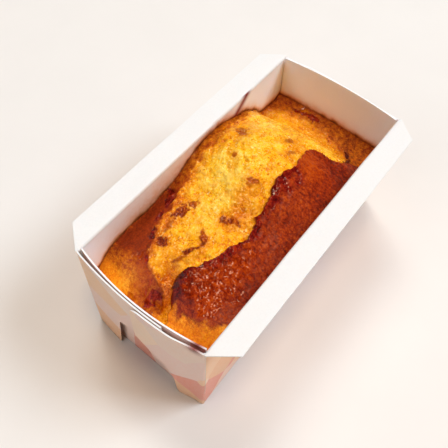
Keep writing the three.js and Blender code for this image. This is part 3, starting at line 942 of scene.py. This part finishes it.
def grease_and_shade(points):
    """How far the card has browned and soaked above the line where the cake meets it, with painted shade in
    the middle of the +Y wall.
    """
    x, y, z = points.T
    inner_y = np.clip(y, TOUCH - HALF_WIDTH, HALF_WIDTH - TOUCH)
    inner_x = np.clip(x, -END_FOOT, END_FOOT)
    cake_edge = main_height(inner_x, inner_y) + CLIMB["height"]
    above = np.maximum(0, z - cake_edge + lumps(x + y, z, *GREASE_WAVER))
    left_wall = smooth(y, HALF_WIDTH - CARD, HALF_WIDTH)
    soak_and_shade = SOAK_AND_SHADE["strength"] * left_wall * bell(x - SOAK_AND_SHADE["middle"], SOAK_AND_SHADE["spread"])
    browned = np.maximum(np.exp(-above / GREASE_REACH), soak_and_shade * np.exp(-above / SOAK_AND_SHADE["reach"]))
    return browned * (np.abs(y) < HALF_WIDTH + CARD)


def drips(points):
    """What has baked on: a drip inside the +Y wall and a stain in the near -Y corner."""
    x, y, z = points.T
    inside = np.abs(y - HALF_WIDTH) < CARD / 2
    off_drip = x - np.interp(z, DRIP["z"], DRIP["x"])
    drip = bell(off_drip, DRIP["spread"]) * inside * smooth(z, *DRIP["fade"])
    off_stain = np.hypot(y - STAIN["y"], z - STAIN["z"])
    return np.maximum(drip, bell(off_stain, STAIN["spread"]) * smooth(-x, *STAIN["fade"]))


def add_channel(sheets):
    """The base, the long walls and their flanges."""
    half, inward = channel_profile()
    mirror = np.array((-1.0, 1.0))
    profile = np.concatenate([half, half[-2::-1] * mirror])
    inward = np.concatenate([inward, inward[-2::-1] * mirror])
    columns = round(CASE_LENGTH / CARD_STEP)
    share = np.linspace(-1, 1, columns)[:, None]
    x = share * half_length(profile[:, 0], profile[:, 1])
    y = np.tile(profile[:, 0], (columns, 1))
    z = np.tile(profile[:, 1], (columns, 1))
    dent = lumps(x, z + DENT_SHIFT * y, *DENTS) * smooth(z, *DENT_RISE)
    mid = np.stack([x, y + dent * inward[:, 0], z + dent * inward[:, 1]], axis=2)
    offset = np.zeros_like(mid)
    offset[:, :, 1:] = inward * CARD / 2
    unfolded = np.stack([x + np.sign(y) * CASE_LENGTH, z], axis=2)
    sheets.add(mid + offset, mid - offset, unfolded)


def add_end_wall(sheets, end):
    width = HALF_WIDTH - END_GAP
    y, z = np.meshgrid(
        np.linspace(-width, width, round(2 * width / CARD_STEP)),
        np.linspace(0, CASE_HEIGHT, round(CASE_HEIGHT / CARD_STEP)),
        indexing="ij",
    )
    x = end_face(y, z, end)
    inside = np.stack([end * x, end * y, z], axis=2)
    outside = np.stack([end * (x + CARD), end * y, z], axis=2)
    sheets.add(inside, outside, np.stack([y + end * HALF_WIDTH, WALL_PRINT * z], axis=2))


def flap_outer(flap, from_fold, z, end):
    """Distance from the middle of the loaf to a flap's outer face."""
    bow = mix(*FLAP_BOW[end], z / CASE_HEIGHT) * bowed(HALF_WIDTH - from_fold)
    return CASE_LENGTH / 2 + bow + flap["stand_off"] * smooth(from_fold, *FLAP_EASE)


def flap_top(flap, from_fold, end):
    past = np.maximum(0, from_fold - (flap["reach"] - flap["corner"]))
    rounded = np.sqrt(np.maximum(0, flap["corner"] ** 2 - past**2)) - flap["corner"]
    return CASE_HEIGHT + rounded - FLAP_DROP[end] * smooth(from_fold, *DROP_EASE)


def add_flap(sheets, flap, end):
    """A flap that wraps from a long wall round the corner of the case."""
    turn = np.linspace(0, math.pi / 2, FOLD_STEPS)[:-1]
    start = CORNER_FOLD - CARD / 2
    from_fold = np.linspace(start, flap["reach"], round(flap["reach"] / CARD_STEP))
    stops = np.concatenate([np.full(len(turn), start), from_fold])
    rows = np.linspace(0, 1, round(CASE_HEIGHT / FLAP_STEP))
    low = through(flap["cut"], stops)[:, None]
    z = mix(low, flap_top(flap, stops, end)[:, None], rows)
    face = flap_outer(flap, stops[:, None], z, end)
    y = np.tile(HALF_WIDTH - stops[:, None], (1, len(rows)))
    outer = np.stack([face, y, z], axis=2)
    inner = np.stack([face - CARD, y, z], axis=2)
    for k, angle in enumerate(turn):
        for sheet, radius in ((outer, CORNER_FOLD + CARD / 2), (inner, CORNER_FOLD - CARD / 2)):
            sheet[k, :, 0] = face[k] - CARD / 2 - CORNER_FOLD + radius * math.sin(angle)
            sheet[k, :, 1] = HALF_WIDTH + CARD / 2 - CORNER_FOLD + radius * math.cos(angle)
    facing = np.array((end, -end * flap["side"], 1.0))
    unfolded = np.stack([flap["side"] * (CASE_LENGTH / 2 + y), z], axis=2)
    sheets.add(inner * facing, outer * facing, unfolded)


def board_colour(tree, place):
    """White board with painted shade on the rim and the +Y wall, browned by grease and stained by drips."""
    fibre = noise(tree, place, *BOARD_FIBRE)
    flange_shade = spread(tree, attribute(tree, "up"), *FLANGE_SHADE_BAND)
    white = blend(tree, flange_shade, two_tone(tree, fibre, WALL_PAINTED_LIGHT_TONES), two_tone(tree, fibre, FLANGE_PAINTED_SHADE_TONES))
    uneven = spread(tree, noise(tree, place, GREASE_PATCH_SIZE), *NOISE_SPAN, *GREASE_CHANGE)
    soaked_and_shaded = calc(tree, "MULTIPLY", attribute(tree, "grease_and_shade"), uneven)
    color = blend(tree, 1.0, white, ramp(tree, soaked_and_shaded, GREASE_AND_SHADE_TONES), "MULTIPLY")
    return blend(tree, attribute(tree, "streak"), color, two_tone(tree, fibre, DRIP_TONES))


def print_colour(tree, place):
    """Angular fields of pale colours, laid out on the flat sheet and warmer towards the floor."""
    inputs = {"X": calc(tree, "ADD", attribute(tree, "round"), PRINT_SHIFT), "Y": attribute(tree, "up")}
    flat = add_node(tree, "CombineXYZ", inputs).outputs["Vector"]
    cells = {"Vector": flat, "Scale": 1 / FIELD_SIZE, "Randomness": 1.0}
    voronoi = add_node(tree, "TexVoronoi", cells, voronoi_dimensions="2D")
    middle = add_node(tree, "SeparateXYZ", {"Vector": voronoi.outputs["Position"]}).outputs["Y"]
    chance = add_node(tree, "SeparateColor", {"Color": voronoi.outputs["Color"]}).outputs["Red"]
    low = spread(tree, middle, CASE_HEIGHT, 0.0)
    fields = ramp(tree, weigh(tree, {"low": low, "chance": chance}, FIELD_SHARES), PRINT_TONES)
    fields.node.color_ramp.interpolation = "CONSTANT"
    worn = spread(tree, noise(tree, place, *WORN), *WORN_EDGE, 0.0, WORN_STRENGTH)
    inked = blend(tree, worn, fields, to_linear(WORN_TONE))
    return blend(tree, attribute(tree, "streak"), inked, to_linear(PRINT_STAIN))


def card_material(name, colour):
    material, tree, shader = new_material(name)
    place = millimetres(tree)
    fibre = noise(tree, place, *CARD_FIBRE)
    bumps = {"Height": fibre, "Strength": CARD_BUMP, "Distance": CARD_BUMP_HEIGHT * MM}
    set_inputs(tree, shader, glow(**CARD_GLOW))
    set_inputs(tree, shader, {
        "Base Color": colour(tree, place),
        "Roughness": spread(tree, fibre, *NOISE_SPAN, *CARD_ROUGHNESS),
        "Normal": add_node(tree, "Bump", bumps).outputs["Normal"],
    })
    return material


def build_case():
    sheets = CardSheets()
    add_channel(sheets)
    for end in (NEAR, FAR):
        add_end_wall(sheets, end)
        for flap in (INNER_FLAP, OUTER_FLAP):
            add_flap(sheets, flap, end)
    mesh = sheets.mesh("card_case")
    mesh.materials.append(card_material("white_board", board_colour))
    mesh.materials.append(card_material("printed_board", print_colour))
    return new_object("card_case", mesh)


def floor_material():
    material, tree, shader = new_material("pale_floor")
    mottle = noise(tree, millimetres(tree), FLOOR_MOTTLE_SIZE)
    inputs = {"Base Color": two_tone(tree, mottle, FLOOR_TONES), "Roughness": FLOOR_ROUGHNESS}
    set_inputs(tree, shader, inputs)
    return material


def build_floor():
    half = FLOOR_SIZE / 2 * MM
    mesh = bpy.data.meshes.new("floor")
    corners = [(-half, -half, 0), (half, -half, 0), (half, half, 0), (-half, half, 0)]
    mesh.from_pydata(corners, [], [(0, 1, 2, 3)])
    mesh.materials.append(floor_material())
    return new_object("floor", mesh)


def add_soft_box(name, towards, width, power, color, matt, gloss):
    lamp = bpy.data.lights.new(name, "AREA")
    lamp.size = width * MM
    lamp.energy = power
    lamp.color = color
    soft_box = new_object(name, lamp)
    soft_box.visible_diffuse = matt
    soft_box.visible_glossy = gloss
    direction = Vector(towards).normalized()
    soft_box.location = direction * LIGHT_DISTANCE * MM
    soft_box.rotation_euler = direction.to_track_quat("Z", "Y").to_euler()


def light_scene():
    world = bpy.data.worlds.new("studio")
    world.use_nodes = True
    tree = world.node_tree
    glossy = add_node(tree, "LightPath", {}).outputs["Is Glossy Ray"]
    room = blend(tree, glossy, (*FILL_COLOR, 1.0), (*SHEEN_COLOR, 1.0))
    set_inputs(tree, tree.nodes["Background"], {"Color": room})
    bpy.context.scene.world = world
    for box in SOFT_BOXES:
        add_soft_box(*box)


def place_camera():
    azimuth, elevation, roll = map(math.radians, CAMERA_ANGLES)
    level = math.cos(elevation)
    back = Vector((math.sin(azimuth) * level, -math.cos(azimuth) * level, math.sin(elevation)))
    right = Vector((0, 0, 1)).cross(back).normalized()
    up = back.cross(right)
    turned_right = math.cos(roll) * right + math.sin(roll) * up
    turned_up = math.cos(roll) * up - math.sin(roll) * right
    lens = bpy.data.cameras.new("camera")
    lens.lens = CAMERA_LENS
    lens.sensor_width = CAMERA_SENSOR
    lens.shift_y = CAMERA_SHIFT
    lens.clip_start = CAMERA_CLIP * MM
    camera = new_object("camera", lens)
    axes = Matrix((turned_right, turned_up, back)).transposed().to_4x4()
    camera.matrix_world = Matrix.Translation(Vector(CAMERA_PLACE) * MM) @ axes
    bpy.context.scene.camera = camera
    bpy.context.scene.view_settings.view_transform = "Standard"


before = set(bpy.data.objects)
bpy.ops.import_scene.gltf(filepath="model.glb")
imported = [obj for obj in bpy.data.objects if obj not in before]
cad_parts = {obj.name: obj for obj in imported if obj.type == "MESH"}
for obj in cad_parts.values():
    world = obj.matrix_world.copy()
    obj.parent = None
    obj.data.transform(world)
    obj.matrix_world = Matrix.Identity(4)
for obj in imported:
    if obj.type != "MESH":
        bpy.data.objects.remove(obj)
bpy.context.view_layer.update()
place_camera()
light_scene()
build_floor()

loaf = build_cake()
loaf.data.materials.append(cake_material())
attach(loaf, "root")
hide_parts("cake")

card_case = build_case()
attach(card_case, "root")
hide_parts("case")
